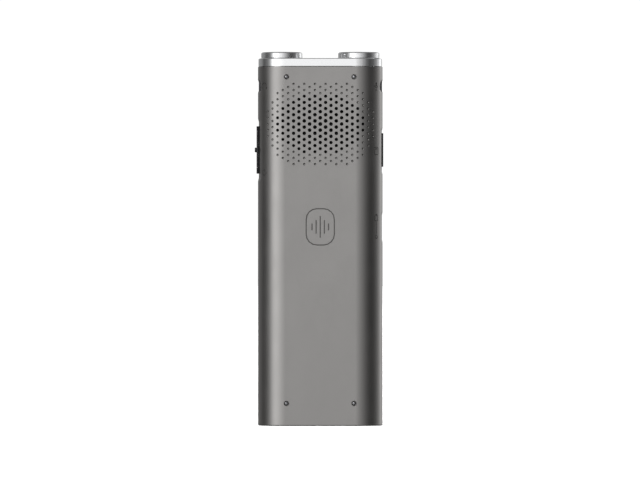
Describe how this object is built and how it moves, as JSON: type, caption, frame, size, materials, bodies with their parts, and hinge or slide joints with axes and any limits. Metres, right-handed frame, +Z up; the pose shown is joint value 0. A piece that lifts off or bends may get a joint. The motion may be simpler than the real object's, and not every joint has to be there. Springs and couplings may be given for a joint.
{
  "type": "handheld voice recorder",
  "caption": "Slim upright metal-bodied voice recorder with raised round microphones, a rear speaker grille, a side slider, a hinged card door, a display and front keys.",
  "frame": {"origin": "centre of the flat lower end, midway between the display side and the back", "axes": "+Z up the body to the microphones; -Y out of the display side; +Y out of the plain back with the grille; +X to the side with the slider"},
  "size_m": [0.0412, 0.015, 0.1197],
  "materials": {
    "satin_metal": "satin anthracite, fine grain",
    "polished_metal": "polished, turned edges",
    "steel": "brushed",
    "magnet_steel": "plated, dull",
    "black_gloss": "glossy black",
    "black_satin": "satin black",
    "key_plastic": "fine satin dark grey",
    "red_plastic": "satin red",
    "rubber": "matt",
    "foam": "open-cell foam",
    "cloth": "fine acoustic cloth",
    "paper_cone": "pressed membrane",
    "copper": "enamelled copper wire",
    "chassis_plastic": "glass-filled, matt",
    "green_board": "solder-resist green",
    "chip_plastic": "moulded epoxy",
    "battery_foil": "laminated foil",
    "white_plastic": "matt white",
    "clear_light": "translucent red",
    "window_glass": "polished, dark tint",
    "display_glass": "glossy dark",
    "flex_film": "amber film",
    "red_wire": "insulated wire",
    "black_wire": "insulated wire"
  },
  "bodies": {
    "recorder": {"rear_housing": "satin_metal", "front_panel": "satin_metal", "top_band": "polished_metal", "chassis": "chassis_plastic", "display_window": "window_glass", "display_panel": "display_glass", "backlight": "white_plastic", "display_flex": "flex_film", "record_light": "clear_light", "mic_barrel_left": "polished_metal", "mic_barrel_right": "polished_metal", "mic_nut_left": "steel", "mic_nut_right": "steel", "mic_mesh_left": "steel", "mic_mesh_right": "steel", "mic_boot_left": "rubber", "mic_boot_right": "rubber", "mic_capsule_left": "steel", "mic_capsule_right": "steel", "screw_upper_left": "steel", "screw_upper_right": "steel", "screw_lower_left": "steel", "screw_lower_right": "steel", "speaker_frame": "chassis_plastic", "speaker_magnet": "magnet_steel", "voice_coil": "copper", "speaker_cone": "paper_cone", "speaker_gasket": "foam", "speaker_cloth": "cloth", "main_board": "green_board", "processor_chip": "chip_plastic", "memory_chip": "chip_plastic", "crystal": "steel", "dome_sheet": "flex_film", "battery_cell": "battery_foil", "battery_tape": "white_plastic", "battery_plug": "white_plastic", "battery_lead_red": "red_wire", "battery_lead_black": "black_wire", "headphone_jack": "black_gloss", "microphone_jack": "black_gloss", "usb_socket": "steel", "card_socket": "steel", "slide_switch": "steel", "card_door_pin": "steel"},
    "hold_slider": {"hold_slider": "black_gloss", "hold_slider_pad": "black_satin"},
    "card_door": {"card_door": "black_satin"},
    "record_key": {"record_key": "red_plastic"},
    "stop_key": {"stop_key": "key_plastic"},
    "play_key": {"play_key": "key_plastic"},
    "function_key_left": {"function_key_left": "key_plastic"},
    "function_key_right": {"function_key_right": "key_plastic"},
    "ok_key": {"ok_key": "key_plastic"},
    "nav_carrier": {"nav_rubber_ring": "rubber"},
    "nav_ring": {"nav_ring": "key_plastic"}
  },
  "joints": [
    {"name": "hold_slide", "type": "slide", "parent": "recorder", "child": "hold_slider", "axis": [0, 0, 1], "range_m": [-0.0012, 0.0012]},
    {"name": "card_door_hinge", "type": "hinge", "parent": "recorder", "child": "card_door", "pos_m": [-0.0193, -0.001, 0.09425], "axis": [0, 1, 0], "range_deg": [0, 75]},
    {"name": "record_key_press", "type": "slide", "parent": "recorder", "child": "record_key", "axis": [0, 1, 0], "range_m": [0, 0.0003], "stiffness_N_per_m": 1500, "springref_m": -0.0002},
    {"name": "stop_key_press", "type": "slide", "parent": "recorder", "child": "stop_key", "axis": [0, 1, 0], "range_m": [0, 0.0003], "stiffness_N_per_m": 1500, "springref_m": -0.0002},
    {"name": "play_key_press", "type": "slide", "parent": "recorder", "child": "play_key", "axis": [0, 1, 0], "range_m": [0, 0.0003], "stiffness_N_per_m": 1500, "springref_m": -0.0002},
    {"name": "function_key_left_press", "type": "slide", "parent": "recorder", "child": "function_key_left", "axis": [0, 1, 0], "range_m": [0, 0.0003], "stiffness_N_per_m": 1500, "springref_m": -0.0002},
    {"name": "function_key_right_press", "type": "slide", "parent": "recorder", "child": "function_key_right", "axis": [0, 1, 0], "range_m": [0, 0.0003], "stiffness_N_per_m": 1500, "springref_m": -0.0002},
    {"name": "ok_key_press", "type": "slide", "parent": "recorder", "child": "ok_key", "axis": [0, 1, 0], "range_m": [0, 0.0003], "stiffness_N_per_m": 1500, "springref_m": -0.0002},
    {"name": "nav_tilt_up_down", "type": "hinge", "parent": "recorder", "child": "nav_carrier", "pos_m": [0, -0.005, 0.038], "axis": [1, 0, 0], "range_deg": [-2, 2], "stiffness_Nm_per_rad": 0.3},
    {"name": "nav_tilt_left_right", "type": "hinge", "parent": "nav_carrier", "child": "nav_ring", "pos_m": [0, -0.005, 0.038], "axis": [0, 0, 1], "range_deg": [-2, 2], "stiffness_Nm_per_rad": 0.3}
  ]
}
